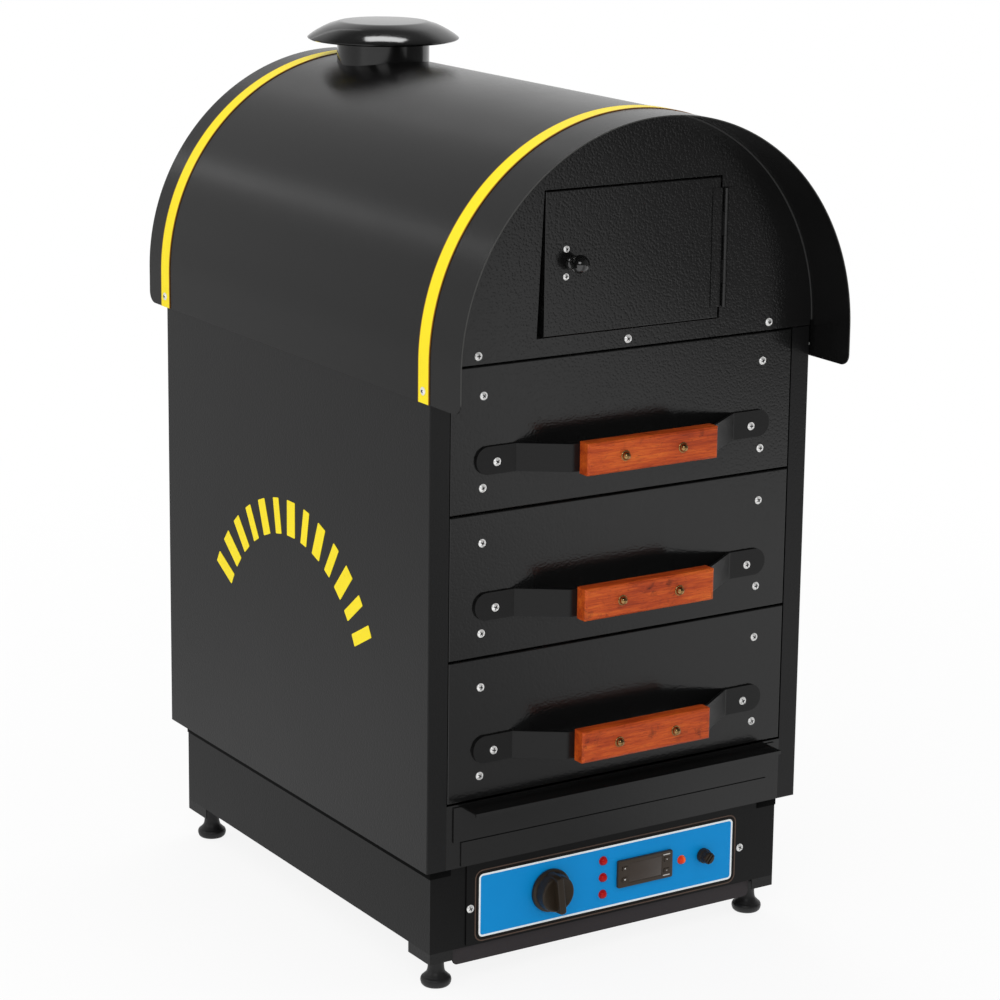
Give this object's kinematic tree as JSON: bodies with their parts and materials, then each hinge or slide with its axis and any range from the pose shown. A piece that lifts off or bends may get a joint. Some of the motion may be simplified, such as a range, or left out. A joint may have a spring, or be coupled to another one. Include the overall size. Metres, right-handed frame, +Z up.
{
  "type": "baked potato oven",
  "caption": "Baked potato oven with a barrel hood, small flue, warming door, pull-out baking drawers, crumb tray and a plinth with knobs, lamps and a digital controller",
  "frame": {"origin": "on the floor, under the middle of the hood's length and width", "axes": "+Z up, front with drawers faces -Y, +X to the right of someone looking at the front from -Y"},
  "size_m": [0.505, 0.703, 0.9912],
  "materials": {
    "hood_coat": "satin black powder coat, fine wrinkle",
    "wall_coat": "satin charcoal powder coat, fine orange peel",
    "front_coat": "satin black powder coat, fine wrinkle",
    "door_coat": "satin black powder coat, fine wrinkle",
    "base_coat": "satin black powder coat",
    "raw_steel": "plain galvanised or stainless sheet",
    "strap_coat": "satin black powder coat",
    "grip_wood": "reddish varnished hardwood",
    "fasteners": "bright zinc; the domed nuts are brass",
    "foot_plastic": "black moulded plastic",
    "insulation": "mineral wool blanket",
    "element_sheath": "heat-darkened stainless sheath",
    "trim_yellow": "gloss yellow with darker edges",
    "flue_enamel": "gloss black enamel",
    "flue_coat": "satin black",
    "overlay_film": "blue printed film with a white line",
    "controller_case": "dark grey moulded plastic",
    "key_rubber": "dark grey rubber",
    "knob_plastic": "dark brown-black phenolic",
    "switch_case": "black moulded plastic",
    "lamp_lens": "red translucent lens"
  },
  "bodies": {
    "cabinet": {"arched_front": "front_coat", "back_panel": "wall_coat", "base_shell": "base_coat", "bottom_pan": "raw_steel", "cable_gland": "switch_case", "casing_screws": "fasteners", "control_overlay": "overlay_film", "control_plate": "base_coat", "controller": "controller_case", "drawer_runners": "raw_steel", "floor_panel": "wall_coat", "flue_cap": "flue_enamel", "flue_pipe": "flue_coat", "foot_brackets": "raw_steel", "front_frame": "raw_steel", "heating_elements": "element_sheath", "hinge_frame_leaf": "door_coat", "hood": "hood_coat", "hood_trims": "trim_yellow", "insulation_blanket": "insulation", "left_side_panel": "wall_coat", "limiter_body": "switch_case", "oven_liner": "raw_steel", "pilot_lamps": "lamp_lens", "right_side_panel": "wall_coat", "rotary_switch": "switch_case", "temperature_probe": "element_sheath", "terminal_block": "switch_case", "warming_deck": "raw_steel", "warming_liner": "raw_steel"},
    "drawer_1": {"drawer_1_front": "front_coat", "drawer_1_box": "raw_steel", "drawer_1_handle_strap": "strap_coat", "drawer_1_grip": "grip_wood", "drawer_1_fasteners": "fasteners"},
    "drawer_2": {"drawer_2_front": "front_coat", "drawer_2_box": "raw_steel", "drawer_2_handle_strap": "strap_coat", "drawer_2_grip": "grip_wood", "drawer_2_fasteners": "fasteners"},
    "drawer_3": {"drawer_3_front": "front_coat", "drawer_3_box": "raw_steel", "drawer_3_handle_strap": "strap_coat", "drawer_3_grip": "grip_wood", "drawer_3_fasteners": "fasteners"},
    "crumb_tray": {"crumb_tray": "front_coat"},
    "door": {"door_panel": "door_coat", "door_knob": "knob_plastic", "door_catch": "fasteners", "hinge_door_leaf": "door_coat"},
    "switch_knob": {"switch_knob": "knob_plastic"},
    "limiter_knob": {"limiter_knob": "knob_plastic"},
    "key_power": {"key_power": "key_rubber"},
    "key_set": {"key_set": "key_rubber"},
    "key_up": {"key_up": "key_rubber"},
    "key_down": {"key_down": "key_rubber"},
    "foot_front_left": {"foot_front_left": "foot_plastic"},
    "foot_front_right": {"foot_front_right": "foot_plastic"},
    "foot_rear_left": {"foot_rear_left": "foot_plastic"},
    "foot_rear_right": {"foot_rear_right": "foot_plastic"}
  },
  "joints": [
    {"name": "drawer_1_slide", "type": "slide", "parent": "cabinet", "child": "drawer_1", "axis": [0, -1, 0], "range_m": [0, 0.4]},
    {"name": "drawer_2_slide", "type": "slide", "parent": "cabinet", "child": "drawer_2", "axis": [0, -1, 0], "range_m": [0, 0.4]},
    {"name": "drawer_3_slide", "type": "slide", "parent": "cabinet", "child": "drawer_3", "axis": [0, -1, 0], "range_m": [0, 0.4]},
    {"name": "crumb_tray_slide", "type": "slide", "parent": "cabinet", "child": "crumb_tray", "axis": [0, -1, 0], "range_m": [0, 0.4]},
    {"name": "door_hinge", "type": "hinge", "parent": "cabinet", "child": "door", "pos_m": [0.1231, -0.2889, 0.79], "axis": [0, 0, 1], "range_deg": [0, 105]},
    {"name": "switch_turn", "type": "hinge", "parent": "cabinet", "child": "switch_knob", "pos_m": [-0.078, -0.2695, 0.09], "axis": [0, -1, 0], "range_deg": [-270, 0]},
    {"name": "limiter_turn", "type": "hinge", "parent": "cabinet", "child": "limiter_knob", "pos_m": [0.1285, -0.2695, 0.09], "axis": [0, -1, 0], "range_deg": [-270, 0]},
    {"name": "key_power_press", "type": "slide", "parent": "cabinet", "child": "key_power", "axis": [0, 1, 0], "range_m": [0, 0.0008], "stiffness_N_per_m": 600},
    {"name": "key_set_press", "type": "slide", "parent": "cabinet", "child": "key_set", "axis": [0, 1, 0], "range_m": [0, 0.0008], "stiffness_N_per_m": 600},
    {"name": "key_up_press", "type": "slide", "parent": "cabinet", "child": "key_up", "axis": [0, 1, 0], "range_m": [0, 0.0008], "stiffness_N_per_m": 600},
    {"name": "key_down_press", "type": "slide", "parent": "cabinet", "child": "key_down", "axis": [0, 1, 0], "range_m": [0, 0.0008], "stiffness_N_per_m": 600},
    {"name": "foot_front_left_turn", "type": "hinge", "parent": "cabinet", "child": "foot_front_left", "pos_m": [-0.21, -0.249, 0.02], "axis": [0, 0, 1], "range_deg": [-360, 360]},
    {"name": "foot_front_right_turn", "type": "hinge", "parent": "cabinet", "child": "foot_front_right", "pos_m": [0.21, -0.249, 0.02], "axis": [0, 0, 1], "range_deg": [-360, 360]},
    {"name": "foot_rear_left_turn", "type": "hinge", "parent": "cabinet", "child": "foot_rear_left", "pos_m": [-0.21, 0.2785, 0.02], "axis": [0, 0, 1], "range_deg": [-360, 360]},
    {"name": "foot_rear_right_turn", "type": "hinge", "parent": "cabinet", "child": "foot_rear_right", "pos_m": [0.21, 0.2785, 0.02], "axis": [0, 0, 1], "range_deg": [-360, 360]}
  ]
}
